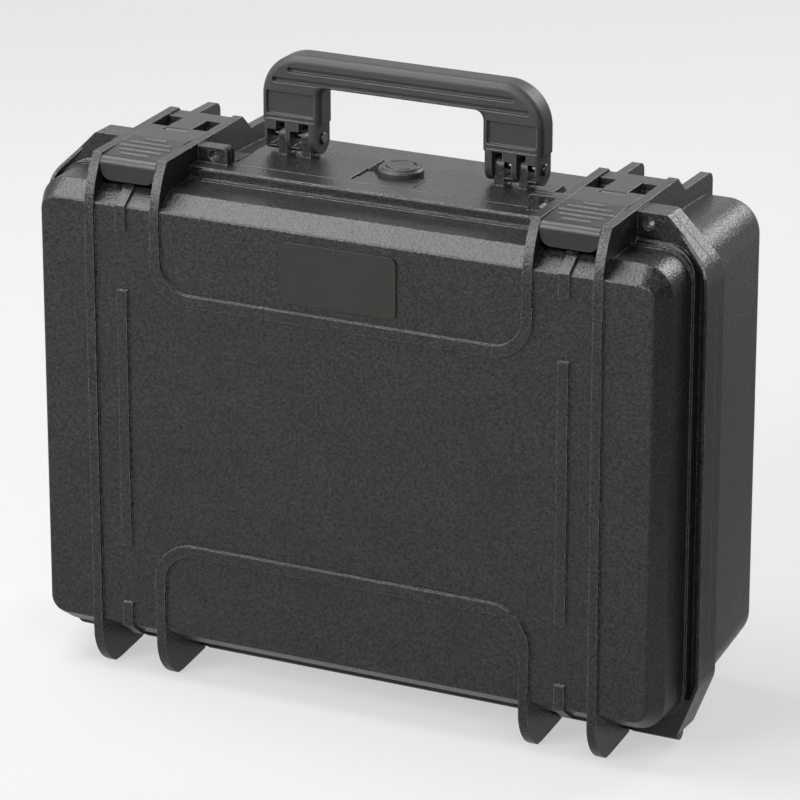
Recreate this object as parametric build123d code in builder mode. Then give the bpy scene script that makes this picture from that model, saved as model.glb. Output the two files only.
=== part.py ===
from build123d import *
import os
from math import asin, cos, radians, tan

os.makedirs("parts", exist_ok=True)

# Laptop hard case, moulded in two halves and standing on its hinge edge.
# Millimetres. X runs along the hinge, Y from the lid to the base, Z up.
# The origin is on the ground, under the middle of the case.
# "Depth" is measured from the front faces of the lid's ribs towards the base.

# ------------------------------------------------------------ driving sizes
# Whole case
case_width = 470.0           # across the flange
case_depth = 174.0           # front faces of the lid ribs to rear faces of the base ribs
rib_top = 357.2              # tops of the lid's ribs and of the padlock lugs
rib_seam_top = 358.6         # tops of the ribs where the halves meet
cheek_top = 360.3            # highest point of the base's ribs, beside the latches
rim_top = 346.4              # top of the flange
rim_bottom = 10.0            # underside of the flange
crease_top = 326.7           # edges of the flat panel
crease_bottom = 35.5
seam_depth = 59.5            # parting plane between lid and base
seam_gap = 0.4               # between the closed halves

# Front panel, chamfer and flange, as reaches out from the panel's crease line
flange_reach = 18.5          # at the sides
crease_radius = 10.0
panel_depth = 2.0            # panel behind the rib faces
chamfer_depth = 14.0
chamfer_reach = 9.8
chamfer_soft = 2.0           # rounding of the chamfer's two edges
lid_wall_reach = 11.0
bead_reach = 12.7
bead_depth = 1.5
lip_width = 2.2
side_narrowing = 2.6         # the lid is narrower by this at each side than at the top
lip_depth = 15.3             # lip front edge to the lid's sealing face
flange_plate = 7.3           # solid part of the lid's flange
base_flange_plate = 11.3
cavity_reach = 6.5           # mouth of both cavities
lid_wall = 4.0
cavity_front_inset = 2.5
plain_flange_top = 38.0      # below this the flange has no channel
top_frame_gap = 7.0          # between the inner ribs and the raised frame over the lid
top_frame_round = 3.4
top_frame_line = 2.0
top_frame_inset = 0.8        # below the top of the flange

# Base tub
tub_side_reach = 11.0
tub_top_reach = 12.8
tub_radius = 26.0
side_draft = 7.0
bottom_draft = 10.0
top_draft = 2.4
tub_rear_radius = 22.0
tub_edge_round = 9.0
rib_wrap = 4.0               # ribs stand out behind the rear wall
base_wall = 4.0

# Ribs, feet and the raised lines on the panel
rib_thickness = 6.5
outer_rib_x = case_width / 2 - 55.0
inner_rib_x = outer_rib_x - 48.0
rib_shoulder_radius = 63.0
rib_shoulder_start = 318.0
foot_arc_start = 28.0
foot_toe_depth = 17.0
foot_heel_depth = 24.0
rear_foot_rise = 20.0         # where the base ribs' rear corner starts to turn
rear_foot_run = 12.0
rear_top_round = 6.0
foot_relief_angle = 25.0      # base foot's front edge, below level
rear_slope_start = 116.5
rear_slope_end = 128.5
rear_top = 349.6
band_width = 7.5
band_bend = 24.5
upper_band_z = 269.5
lower_band_z = 96.0
strip_x = case_width / 2 - 78.0
strip_width = 7.3
strip_proud = 1.8
strip_length = 177.8
strip_gap = 40.5             # between the long strip and the short one above or below it

# Padlock lugs and inner tabs
lug_end_x = case_width / 2 - 31.5
lug_slope_drop = 31.5
lug_round = 22.0
toe_x = case_width / 2 - 15.0
toe_rise = 38.0
toe_round = 18.0
lug_lip_start = 322.0        # here the lip starts to slope back into the lug's plain front
lug_lip_end = 345.0
tab_width = 22.0
tab_top = 357.5
tab_round = 4.0
tab_thickness = 4.3          # in each half
tab_edge_line = 1.5          # raised line round the tab's free edges
tab_edge_proud = 0.8
lug_hole_x = case_width / 2 - 44.0
lug_hole_z = 349.5
padlock_hole_radius = 4.0
tab_hole_x = inner_rib_x - 14.5
tab_hole_z = 351.5
tab_hole_radius = 3.5

# Hinge
hinge_z = 7.5
knuckle_radius = 5.0
knuckle_pitch = 16.6
knuckle_row_x = case_width / 2 - 18.0   # end of the knuckle row
knuckle_end_gap = 0.5        # between neighbouring knuckles
knuckle_clearance = 0.4      # between a knuckle and the other half's pocket
knuckle_rib_gap = 1.2        # between a knuckle and the ribs
rib_hinge_clearance = 1.2    # between the knuckle circle and the ribs' hinge notch
hinge_pin_radius = 2.0
running_clearance = 0.05     # radial, in turning bores
seat_clearance = 0.02        # radial, in bores that hold a pin fast

# Deck, handle posts and handle
deck_depth = 26.3
deck_top = 345.7
deck_pad_height = 0.8
deck_pad_start = 22.0
deck_pad_end = 106.0
deck_pad_rear = 111.0        # the handle's posts stand on the pads
deck_pad_foot = 126.0        # where the slope behind a pad meets the tub
deck_slot_width = 2.2
deck_slot_depth = 3.5
deck_slot_start = 64.0
deck_slot_end = 89.0
handle_half_width = 100.5
handle_top = 415.5
handle_depth = 21.0
handle_pivot_depth = 99.5
handle_pivot_z = 359.0
handle_corner = 29.0
handle_edge_round = 5.0
grip_half_width = 58.0
grip_top = 394.5
grip_corner = 6.0
post_radius = 7.0
inner_post_x = 69.35
inner_post_width = 6.7
outer_post_x = 86.3
outer_post_width = 6.0
post_side_clearance = 0.4
post_slot_top = 370.0
leg_window_width = 6.4       # openings beside the posts that show the pin
leg_window_bottom = 352.5
leg_window_top = 364.0
leg_ear_step = 2.5           # the legs are narrower round the pivot, on both sides
leg_ear_top = 369.5
leg_line_z = 372.6           # thin groove under each leg's sunk panel
leg_line_height = 1.4
leg_line_depth = 1.2
handle_pin_radius = 2.5
handle_pin_head_radius = 4.0
handle_pin_head = 1.5        # thickness of the domed heads
handle_pin_head_gap = 0.15
groove_height = 3.5
groove_depth = 3.0
upper_groove_z = 405.5
upper_groove_half = 81.0
lower_groove_z = 398.0
lower_groove_half = 92.0
leg_recess_depth = 2.5
leg_recess_margin = 3.8
leg_recess_bottom = 374.5
leg_recess_height = 15.5

# Latches
latch_x = (inner_rib_x + outer_rib_x) / 2
latch_side_clearance = 0.5
latch_thickness = 5.0
latch_top = 358.9
link_pin_depth = 108.0
link_pin_z = 349.6
link_pin_radius = 2.5
link_pin_bury = 4.7          # how far the pin reaches into each rib
link_barrel_radius = 7.5
link_plate_front = 6.0       # plate ahead of the link pin
link_plate_rear = 8.0        # plate behind the link pin
link_bar_width = 17.5
lever_pin_depth = 79.0
lever_pin_z = 354.4
lever_pin_radius = 1.6
lever_eye_radius = 4.5
lever_bar_clearance = 0.4
lever_slot_wall = 6.5        # slot's end ahead of the lever pin
lever_front = 10.0
lever_front_drop = 3.3
lever_slope_start = 52.0
lever_lip_thickness = 6.0
lever_front_round = 5.5
lever_lip_corner = 8.0
lever_lip_bottom = 340.4
lever_skin = 5.5
grip_ridges = ((19.5, 20.0), (26.5, 31.0), (33.5, 37.0), (40.5, 30.0), (47.5, 16.0))  # depth, length
grip_ridge_width = 1.6
grip_ridge_height = 0.7
latch_land_z = 341.5
pad_clearance = 0.4
pad_front = 48.0
pad_length = 9.0
pad_half_width = 16.0
lever_pin_length = 38.0

# Purge valve
valve_depth = 92.0
valve_boss_radius = 17.0
valve_boss_top = 342.0
valve_inner_boss_radius = 13.0
valve_inner_boss_z = 330.5
valve_stem_radius = 6.0
valve_flange_radius = 10.0
valve_flange_height = 2.0
valve_neck_radius = 5.0
valve_neck_height = 4.5
valve_washer_radius = 10.0
valve_washer_thickness = 1.5
valve_nut_height = 5.5
valve_nut_radius = 10.4
valve_stem_overhang = 2.0
knob_radius = 15.0
knob_disc_radius = 12.8
knob_height = 8.7
knob_lift = 0.3
knob_skirt_inner = 12.0
knob_roof = 5.0
knob_groove_width = 1.8
knob_groove_depth = 1.6
knob_groove_radius = 9.6
knob_slot_length = 15.0
o_ring_radius = 8.4
o_ring_section = 0.85

# Seal, foam and label
gasket_inner_reach = 8.5
gasket_outer_reach = 13.0
gasket_groove_depth = 4.0
gasket_side_clearance = 0.3
gasket_height = 2.5
tongue_reach = 9.9
tongue_width = 2.0
tongue_height = 1.1
foam_clearance = 0.4
lid_foam_depth = 39.7
base_foam_face = 64.0
laptop_width = 390.0
laptop_height = 262.0
laptop_recess = 45.0
laptop_corner = 3.0
finger_radius = 13.0
valve_notch_margin = 5.0
label_half_width = 41.0
label_bottom = 279.0
label_height = 41.0
label_corner = 5.0
label_thickness = 1.0

# ------------------------------------------------------------ worked-out sizes
half_width = case_width / 2
crease_half_width = half_width - flange_reach
crease_half_height = (crease_top - crease_bottom) / 2
mid_z = (crease_top + crease_bottom) / 2
lid_face = seam_depth - seam_gap / 2
base_face = seam_depth + seam_gap / 2
chamfer_end = panel_depth + chamfer_depth
lip_front = lid_face - lip_depth
bead_front = lip_front - bead_depth
channel_floor = lid_face - flange_plate
base_flange_end = base_face + base_flange_plate
rear_wall = case_depth - rib_wrap
inner_rib_face = inner_rib_x - rib_thickness / 2
outer_rib_face = outer_rib_x + rib_thickness / 2
tab_end = inner_rib_face - tab_width
latch_bay_inner = inner_rib_x + rib_thickness / 2
latch_bay_outer = outer_rib_x - rib_thickness / 2
latch_width = latch_bay_outer - latch_bay_inner - 2 * latch_side_clearance
ground = 0.0
wide = 2 * case_width        # longer than anything that it cuts
sides = (-1, 1)
side_names = {-1: "left", 1: "right"}


# ------------------------------------------------------------ shared profiles
def y_at(depth):
    """Y of a plane that lies this deep behind the front rib faces."""
    return depth - case_depth / 2


def at(depth, z):
    """A point of a side profile, as (Y, Z)."""
    return (depth - case_depth / 2, z)


def wall_plane(depth):
    """A plane parallel to the lid's panel; it faces the front."""
    return Plane.XZ.offset(case_depth / 2 - depth)


def side_plane(x):
    """A plane across the hinge; it faces +X and its sketches are in (Y, Z)."""
    return Plane.YZ.offset(x)


def box_face(depth, x0, x1, z0, z1, radius=0.0):
    """A rectangle between two X and two Z values, on a plane parallel to the panel."""
    with BuildSketch(wall_plane(depth)) as face:
        with Locations(((x0 + x1) / 2, (z0 + z1) / 2)):
            if radius > 0:
                RectangleRounded(x1 - x0, z1 - z0, radius)
            else:
                Rectangle(x1 - x0, z1 - z0)
    return face.sketch


def outline(depth, reach, narrowing=0.0):
    """The case's rounded outline at a reach out from the panel's crease line."""
    half_x = crease_half_width + reach - narrowing
    half_z = crease_half_height + reach
    return box_face(depth, -half_x, half_x, mid_z - half_z, mid_z + half_z, crease_radius + reach)


def ring(depth, inner_reach, outer_reach):
    """The strip between two outlines."""
    return outline(depth, outer_reach) - outline(depth, inner_reach)


def flange_face(depth, inset=0.0):
    """The flange with its padlock lugs at the top and its cut bottom corners."""
    lug_end = [
        (toe_x, rim_bottom, crease_radius / 2),
        (half_width, rim_bottom + toe_rise, toe_round),
        (half_width, rib_top - lug_slope_drop, lug_round),
        (lug_end_x, rib_top, lip_width + 1),
        (outer_rib_x, rib_top, 0),
        (outer_rib_x, rim_top, 0),
    ]
    mirrored = [(-x, z, radius) for x, z, radius in reversed(lug_end)]
    corners = lug_end + mirrored
    with BuildSketch(wall_plane(depth)) as face:
        with BuildLine():
            FilletPolyline(
                *[(x, z) for x, z, radius in corners],
                radius=[radius for x, z, radius in corners],
                close=True,
            )
        make_face()
        if inset > 0:
            offset(amount=-inset)
    return face.sketch


def tab_face(side, depth, inset=0.0):
    """Front view of the tab that stands on the flange beside an inner rib."""
    start, stop = sorted((side * (tab_end + inset), side * (inner_rib_x + rib_thickness / 4)))
    return box_face(depth, start, stop, crease_top, tab_top - inset, tab_round - inset)


def lever_surface(depth):
    """Height of a lever's top, which slopes down towards its front."""
    share = max(0.0, lever_slope_start - depth) / (lever_slope_start - lever_front)
    return latch_top - lever_front_drop * share


def disc(x, depth, z, radius):
    """A circle in a side plane, about an axis along X."""
    with BuildSketch(side_plane(x)) as face:
        with Locations(at(depth, z)):
            Circle(radius)
    return face.sketch


def side_polygon(x, *points):
    """A polygon in a side plane, from (depth, z) points."""
    with BuildSketch(side_plane(x)) as face:
        with BuildLine():
            Polyline(*[at(depth, z) for depth, z in points], close=True)
        make_face()
    return face.sketch


def lid_rib_face(x):
    """Side view of a lid rib: straight front, curved shoulder, and a foot at the bottom."""
    rise = rib_top - rib_shoulder_start
    shoulder_end = rib_shoulder_radius * (1 - cos(asin(rise / rib_shoulder_radius)))
    foot_rise = hinge_z / 2
    with BuildSketch(side_plane(x)) as face:
        with BuildLine():
            Line(at(0, foot_arc_start), at(0, rib_shoulder_start))
            TangentArc(at(0, rib_shoulder_start), at(shoulder_end, rib_top), tangent=(0, 1))
            Polyline(
                at(shoulder_end, rib_top),
                at(lid_face, rib_seam_top),
                at(lid_face, hinge_z),
                at(lid_face - foot_rise, foot_rise),
                at(foot_heel_depth, ground),
                at(foot_toe_depth, ground),
            )
            TangentArc(at(0, foot_arc_start), at(foot_toe_depth, ground), tangent=(0, -1))
        make_face()
    return face.sketch


def base_rib_face(x):
    """Side view of a base rib: latch cheek at the top, wrapped rear, foot at the bottom."""
    toe_run = hinge_z / tan(radians(foot_relief_angle))
    with BuildSketch(side_plane(x)) as face:
        with BuildLine():
            Polyline(
                at(case_depth - rear_foot_run, ground),
                at(base_face + toe_run, ground),
                at(base_face, hinge_z),
                at(base_face, rib_seam_top),
                at(rear_slope_start, cheek_top),
                at(rear_slope_end, rear_top),
                at(case_depth - rear_top_round, rear_top),
            )
            TangentArc(
                at(case_depth - rear_top_round, rear_top),
                at(case_depth, rear_top - rear_top_round),
                tangent=(1, 0),
            )
            Line(at(case_depth, rear_top - rear_top_round), at(case_depth, rear_foot_rise))
            TangentArc(
                at(case_depth, rear_foot_rise),
                at(case_depth - rear_foot_run, ground),
                tangent=(0, -1),
            )
        make_face()
    return face.sketch


def knuckle_places():
    """Start and end of every hinge knuckle, row by row between the ribs."""
    reach = rib_thickness / 2 + knuckle_rib_gap
    stops = [-knuckle_row_x]
    for x in (-outer_rib_x, -inner_rib_x, inner_rib_x, outer_rib_x):
        stops += [x - reach, x + reach]
    stops.append(knuckle_row_x)
    places = []
    for start, end in zip(stops[0::2], stops[1::2]):
        count = max(1, round((end - start) / knuckle_pitch))
        length = (end - start) / count
        for index in range(count):
            places.append((start + index * length, start + (index + 1) * length))
    return places


rib_places = (-outer_rib_x, -inner_rib_x, inner_rib_x, outer_rib_x)
knuckles = knuckle_places()
lid_knuckles = knuckles[0::2]
base_knuckles = knuckles[1::2]


def knuckle_face(x, towards):
    """Knuckle circle with a foot that runs up into the lid (-1) or the base (1)."""
    web_end = seam_depth + towards * knuckle_radius
    with BuildSketch(side_plane(x)) as face:
        with Locations(at(seam_depth, hinge_z)):
            Circle(knuckle_radius)
        with BuildLine():
            Polyline(
                at(seam_depth + towards * seam_gap, hinge_z),
                at(web_end, hinge_z),
                at(web_end, rim_bottom + knuckle_radius / 2),
                at(seam_depth + towards * seam_gap, rim_bottom + knuckle_radius / 2),
                close=True,
            )
        make_face()
    return face.sketch


# ------------------------------------------------------------ lid shell
with BuildPart() as lid_shell:
    # Panel, chamfer band and side wall
    loft(
        sections=[
            outline(panel_depth, 0),
            outline(chamfer_end, chamfer_reach, side_narrowing),
            outline(bead_front, lid_wall_reach, side_narrowing),
        ],
        ruled=True,
    )
    fillet(
        lid_shell.edges().filter_by(
            lambda edge: abs(edge.center().Y - y_at(panel_depth)) < 0.1
            or abs(edge.center().Y - y_at(chamfer_end)) < 0.1
        ),
        radius=chamfer_soft,
    )
    # Bead round the foot of the wall, and the flange with its open channel
    extrude(
        to_extrude=outline(bead_front, bead_reach, side_narrowing), amount=bead_front - lid_face
    )
    extrude(to_extrude=flange_face(channel_floor), amount=channel_floor - lid_face)
    extrude(
        to_extrude=flange_face(lip_front) - flange_face(lip_front, lip_width),
        amount=lip_front - channel_floor,
    )
    # The flange is solid along the hinge
    hinge_strip = box_face(lip_front, -wide, wide, rim_bottom - 1, plain_flange_top)
    extrude(to_extrude=flange_face(lip_front) & hinge_strip, amount=lip_front - channel_floor)
    # Between the inner ribs the flange is solid up to its lip and carries a raised frame
    extrude(
        to_extrude=box_face(lip_front, -inner_rib_face, inner_rib_face, crease_top, rim_top),
        amount=lip_front - channel_floor,
    )
    frame_end = inner_rib_face - top_frame_gap
    frame_low = crease_top + lid_wall_reach - top_frame_line / 2
    frame_high = rim_top - top_frame_inset
    extrude(
        to_extrude=box_face(
            bead_front, -frame_end, frame_end, frame_low, frame_high, top_frame_round
        )
        - box_face(
            bead_front,
            -frame_end + top_frame_line,
            frame_end - top_frame_line,
            frame_low + top_frame_line,
            frame_high - top_frame_line,
            top_frame_round - top_frame_line,
        ),
        amount=-bead_depth,
    )
    for side in sides:
        # The lip slopes back into the padlock lug's plain front
        lug_width = half_width + lip_width - outer_rib_x
        extrude(
            to_extrude=side_polygon(
                side * (outer_rib_x + lug_width / 2),
                (lip_front - 1, lug_lip_start - 1),
                (lip_front, lug_lip_start),
                (channel_floor, lug_lip_end),
                (channel_floor, rib_top + 1),
                (lip_front - 1, rib_top + 1),
            ),
            amount=lug_width / 2,
            both=True,
            mode=Mode.SUBTRACT,
        )
        # Tab beside the inner rib, with a raised line round its free edges
        tab_front = lid_face - tab_thickness
        extrude(to_extrude=tab_face(side, tab_front), amount=-tab_thickness)
        extrude(
            to_extrude=tab_face(side, tab_front - tab_edge_proud)
            - tab_face(side, tab_front - tab_edge_proud, tab_edge_line),
            amount=-tab_edge_proud,
        )
        # Strips on the panel: a long one, and short ones that turn over the chamfer
        low = mid_z - strip_length / 2
        high = mid_z + strip_length / 2
        strip_face = panel_depth - strip_proud
        extrude(
            to_extrude=box_face(
                strip_face,
                side * strip_x - strip_width / 2,
                side * strip_x + strip_width / 2,
                low,
                high,
            ),
            amount=-strip_proud - lid_wall / 2,
        )
        for edge, turn in ((crease_top, 1), (crease_bottom, -1)):
            start = high + strip_gap if turn > 0 else low - strip_gap
            extrude(
                to_extrude=side_polygon(
                    side * strip_x,
                    (chamfer_end, edge + turn * (chamfer_reach - lid_wall)),
                    (panel_depth + lid_wall, start),
                    (strip_face, start),
                    (strip_face, edge + turn * strip_proud / 2),
                    (chamfer_end - strip_proud, edge + turn * (chamfer_reach + strip_proud)),
                    (chamfer_end, edge + turn * (chamfer_reach + strip_proud / 2)),
                ),
                amount=strip_width / 2,
                both=True,
            )
    # Ribs; the inner ones leave the middle of the panel free
    for x in rib_places:
        extrude(to_extrude=lid_rib_face(x), amount=rib_thickness / 2, both=True)
    for side in sides:
        inner_low = lower_band_z - band_bend
        inner_high = upper_band_z + band_bend
        extrude(
            to_extrude=box_face(
                0,
                side * inner_rib_x - rib_thickness,
                side * inner_rib_x + rib_thickness,
                inner_low,
                inner_high,
            ),
            amount=-panel_depth,
            mode=Mode.SUBTRACT,
        )
    # Two bands that join the inner ribs across the panel
    for band_z, turn in ((upper_band_z, 1), (lower_band_z, -1)):
        rise = turn * (band_bend + band_width)
        with BuildSketch(wall_plane(0)) as band:
            with BuildLine():
                FilletPolyline(
                    (-inner_rib_x, band_z + rise),
                    (-inner_rib_x, band_z),
                    (inner_rib_x, band_z),
                    (inner_rib_x, band_z + rise),
                    radius=band_bend,
                )
            trace(line_width=band_width)
        extrude(amount=-panel_depth - lid_wall / 2)
    # Cavity for the foam
    loft(
        sections=[
            outline(panel_depth + lid_wall, -cavity_front_inset),
            outline(chamfer_end + cavity_front_inset, chamfer_reach - lid_wall, side_narrowing),
            outline(lid_face, cavity_reach, side_narrowing),
        ],
        ruled=True,
        mode=Mode.SUBTRACT,
    )
    # Gasket groove in the sealing face
    extrude(
        to_extrude=ring(lid_face, gasket_inner_reach, gasket_outer_reach),
        amount=gasket_groove_depth,
        mode=Mode.SUBTRACT,
    )
    # Land under each lever, lower than the flange around it
    for side in sides:
        bay_start, bay_end = sorted((side * latch_bay_inner, side * latch_bay_outer))
        extrude(
            to_extrude=box_face(bead_front, bay_start, bay_end, latch_land_z, rib_top + 1),
            amount=bead_front - seam_depth,
            mode=Mode.SUBTRACT,
        )
    # Padlock holes
    with BuildSketch(wall_plane(seam_depth)):
        for side in sides:
            with Locations((side * lug_hole_x, lug_hole_z)):
                Circle(padlock_hole_radius)
            with Locations((side * tab_hole_x, tab_hole_z)):
                Circle(tab_hole_radius)
    extrude(amount=seam_depth, mode=Mode.SUBTRACT)
    # Hinge: pockets for the base's knuckles, own knuckles, notches in the ribs, pin bore
    for start, end in base_knuckles:
        middle = (start + end) / 2
        extrude(
            to_extrude=disc(middle, seam_depth, hinge_z, knuckle_radius + knuckle_clearance),
            amount=(end - start) / 2,
            both=True,
            mode=Mode.SUBTRACT,
        )
    for x in rib_places:
        extrude(
            to_extrude=disc(x, seam_depth, hinge_z, knuckle_radius + rib_hinge_clearance),
            amount=rib_thickness / 2 + knuckle_rib_gap,
            both=True,
            mode=Mode.SUBTRACT,
        )
    for start, end in lid_knuckles:
        extrude(
            to_extrude=knuckle_face((start + end) / 2, -1),
            amount=(end - start - knuckle_end_gap) / 2,
            both=True,
        )
    extrude(
        to_extrude=disc(0, seam_depth, hinge_z, hinge_pin_radius + running_clearance),
        amount=wide,
        both=True,
        mode=Mode.SUBTRACT,
    )
lid_shell.part.label = "lid_shell"
export_step(lid_shell.part, "parts/lid_shell.step")


# ------------------------------------------------------------ base shell
def tub_section(depth, inset=0.0):
    """Drafted outline of the tub's outside at a depth, drawn in by a wall where asked."""
    share = (depth - base_face) / (rear_wall - base_face)
    half_x = crease_half_width + tub_side_reach - side_draft * share - inset
    low = crease_bottom - tub_top_reach + bottom_draft * share + inset
    high = crease_top + tub_top_reach - top_draft * share - inset
    radius = tub_radius + (tub_rear_radius - tub_radius) * share - inset
    return box_face(depth, -half_x, half_x, low, high, radius)


with BuildPart() as base_shell:
    # Drafted tub with softly rounded rear edges
    loft(sections=[tub_section(base_face), tub_section(rear_wall)], ruled=True)
    fillet(base_shell.faces().sort_by(Axis.Y)[-1].edges(), radius=tub_edge_round)
    # Flange, and the flat deck behind it that carries the handle
    extrude(to_extrude=flange_face(base_flange_end), amount=base_flange_plate)
    extrude(
        to_extrude=box_face(
            base_face + deck_depth, -inner_rib_face, inner_rib_face, crease_top, deck_top
        ),
        amount=deck_depth,
    )
    for side in sides:
        # Pad with a slope behind it, under the handle's posts
        pad_top = deck_top + deck_pad_height
        extrude(
            to_extrude=side_polygon(
                side * (deck_pad_start + deck_pad_end) / 2,
                (base_face, crease_top),
                (base_face, pad_top),
                (deck_pad_rear, pad_top),
                (deck_pad_foot, crease_top + tub_top_reach - 2 * top_draft),
                (deck_pad_foot, crease_top),
            ),
            amount=(deck_pad_end - deck_pad_start) / 2,
            both=True,
        )
        # Narrow slots at both ends of the pad
        for slot_x in (side * deck_pad_start, side * deck_pad_end):
            extrude(
                to_extrude=box_face(
                    deck_slot_end,
                    slot_x - deck_slot_width / 2,
                    slot_x + deck_slot_width / 2,
                    pad_top - deck_slot_depth,
                    rib_top,
                ),
                amount=deck_slot_end - deck_slot_start,
                mode=Mode.SUBTRACT,
            )
        extrude(to_extrude=tab_face(side, base_face + tab_thickness), amount=tab_thickness)
        # Handle posts
        for post_x, post_width in ((inner_post_x, inner_post_width), (outer_post_x, outer_post_width)):
            with BuildSketch(side_plane(side * post_x)):
                with Locations(at(handle_pivot_depth, handle_pivot_z)):
                    Circle(post_radius)
                post_height = handle_pivot_z - crease_top
                with Locations(at(handle_pivot_depth, crease_top + post_height / 2)):
                    Rectangle(2 * post_radius, post_height)
            extrude(amount=post_width / 2, both=True)
    # Boss that the purge valve's knob turns on
    with BuildSketch(Plane.XY.offset(crease_top)):
        with Locations((0, y_at(valve_depth))):
            Circle(valve_boss_radius)
    extrude(amount=valve_boss_top - crease_top)
    # Round clearance in the deck above the boss
    with BuildSketch(Plane.XY.offset(valve_boss_top)):
        with Locations((0, y_at(valve_depth))):
            Circle(valve_boss_radius)
    extrude(amount=rib_top - valve_boss_top, mode=Mode.SUBTRACT)
    # Ribs and feet
    for x in rib_places:
        extrude(to_extrude=base_rib_face(x), amount=rib_thickness / 2, both=True)
    # Cavity
    loft(
        sections=[outline(base_face, cavity_reach), tub_section(rear_wall - base_wall, base_wall)],
        ruled=True,
        mode=Mode.SUBTRACT,
    )
    # Flat seat inside for the valve's washer, and the valve's hole
    with BuildSketch(Plane.XY.offset(valve_inner_boss_z)):
        with Locations((0, y_at(valve_depth))):
            Circle(valve_inner_boss_radius)
    extrude(amount=crease_top + tub_top_reach - top_draft - base_wall / 2 - valve_inner_boss_z)
    with BuildSketch(Plane.XY.offset(crease_bottom + crease_half_height)):
        with Locations((0, y_at(valve_depth))):
            Circle(valve_stem_radius + seat_clearance)
    extrude(amount=crease_half_height * 2, mode=Mode.SUBTRACT)
    # Tongue that presses into the gasket groove
    extrude(
        to_extrude=ring(base_face, tongue_reach, tongue_reach + tongue_width),
        amount=tongue_height + seam_gap,
    )
    # Padlock holes
    with BuildSketch(wall_plane(base_flange_end)):
        for side in sides:
            with Locations((side * lug_hole_x, lug_hole_z)):
                Circle(padlock_hole_radius)
            with Locations((side * tab_hole_x, tab_hole_z)):
                Circle(tab_hole_radius)
    extrude(amount=base_flange_end - seam_depth, mode=Mode.SUBTRACT)
    # Blind bores in the ribs for the link pins
    for side in sides:
        extrude(
            to_extrude=disc(
                side * latch_x, link_pin_depth, link_pin_z, link_pin_radius + seat_clearance
            ),
            amount=(latch_bay_outer - latch_bay_inner) / 2 + link_pin_bury,
            both=True,
            mode=Mode.SUBTRACT,
        )
        # Bores in the handle posts
        extrude(
            to_extrude=disc(
                side * outer_post_x, handle_pivot_depth, handle_pivot_z, handle_pin_radius + seat_clearance
            ),
            amount=outer_post_x - inner_post_x + inner_post_width,
            both=True,
            mode=Mode.SUBTRACT,
        )
    # Hinge: pockets for the lid's knuckles, own knuckles, notches in the ribs, pin bore
    for start, end in lid_knuckles:
        extrude(
            to_extrude=disc(
                (start + end) / 2, seam_depth, hinge_z, knuckle_radius + knuckle_clearance
            ),
            amount=(end - start) / 2,
            both=True,
            mode=Mode.SUBTRACT,
        )
    for x in rib_places:
        extrude(
            to_extrude=disc(x, seam_depth, hinge_z, knuckle_radius + rib_hinge_clearance),
            amount=rib_thickness / 2 + knuckle_rib_gap,
            both=True,
            mode=Mode.SUBTRACT,
        )
    for start, end in base_knuckles:
        extrude(
            to_extrude=knuckle_face((start + end) / 2, 1),
            amount=(end - start - knuckle_end_gap) / 2,
            both=True,
        )
    extrude(
        to_extrude=disc(0, seam_depth, hinge_z, hinge_pin_radius + seat_clearance),
        amount=wide,
        both=True,
        mode=Mode.SUBTRACT,
    )
base_shell.part.label = "base_shell"
export_step(base_shell.part, "parts/base_shell.step")


# ------------------------------------------------------------ hinge pin
with BuildPart() as hinge_pin:
    with BuildSketch(side_plane(-knuckle_row_x)):
        with Locations(at(seam_depth, hinge_z)):
            Circle(hinge_pin_radius)
    extrude(amount=2 * knuckle_row_x)
hinge_pin.part.label = "hinge_pin"
export_step(hinge_pin.part, "parts/hinge_pin.step")


# ------------------------------------------------------------ seal, foam and label
with BuildPart() as lid_gasket:
    extrude(
        to_extrude=ring(
            lid_face - gasket_groove_depth + gasket_height,
            gasket_inner_reach + gasket_side_clearance,
            gasket_outer_reach - gasket_side_clearance,
        ),
        amount=gasket_height,
    )
lid_gasket.part.label = "lid_gasket"
export_step(lid_gasket.part, "parts/lid_gasket.step")

with BuildPart() as lid_foam:
    foam_front = panel_depth + lid_wall + foam_clearance
    foam_turn = chamfer_end + cavity_front_inset + foam_clearance
    loft(
        sections=[
            outline(foam_front, -cavity_front_inset - 2 * foam_clearance),
            outline(foam_turn, chamfer_reach - lid_wall - foam_clearance, side_narrowing),
            outline(foam_front + lid_foam_depth, chamfer_reach - lid_wall, side_narrowing),
        ],
        ruled=True,
    )
lid_foam.part.label = "lid_foam"
export_step(lid_foam.part, "parts/lid_foam.step")

with BuildPart() as base_foam:
    foam_back = rear_wall - base_wall - foam_clearance
    loft(
        sections=[
            outline(base_foam_face, cavity_reach - base_wall / 4),
            tub_section(foam_back, base_wall + 2 * foam_clearance),
        ],
        ruled=True,
    )
    # Recess for the laptop, with finger room at both ends
    with BuildSketch(wall_plane(base_foam_face)):
        with Locations((0, mid_z)):
            RectangleRounded(laptop_width, laptop_height, laptop_corner)
        with Locations((-laptop_width / 2, mid_z), (laptop_width / 2, mid_z)):
            Circle(finger_radius)
    extrude(amount=-laptop_recess, mode=Mode.SUBTRACT)
    # Room for the valve's nut
    notch_half = valve_nut_radius + valve_notch_margin
    notch_low = valve_inner_boss_z - valve_washer_thickness - valve_nut_height - valve_notch_margin
    with BuildSketch(wall_plane(base_foam_face)):
        with Locations((0, notch_low)):
            Rectangle(2 * notch_half, crease_half_height, align=(Align.CENTER, Align.MIN))
    extrude(amount=base_foam_face - valve_depth - notch_half, mode=Mode.SUBTRACT)
base_foam.part.label = "base_foam"
export_step(base_foam.part, "parts/base_foam.step")

with BuildPart() as label_plate:
    extrude(
        to_extrude=box_face(
            panel_depth - label_thickness,
            -label_half_width,
            label_half_width,
            label_bottom,
            label_bottom + label_height,
            label_corner,
        ),
        amount=-label_thickness,
    )
label_plate.part.label = "label_plate"
export_step(label_plate.part, "parts/label_plate.step")


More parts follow.
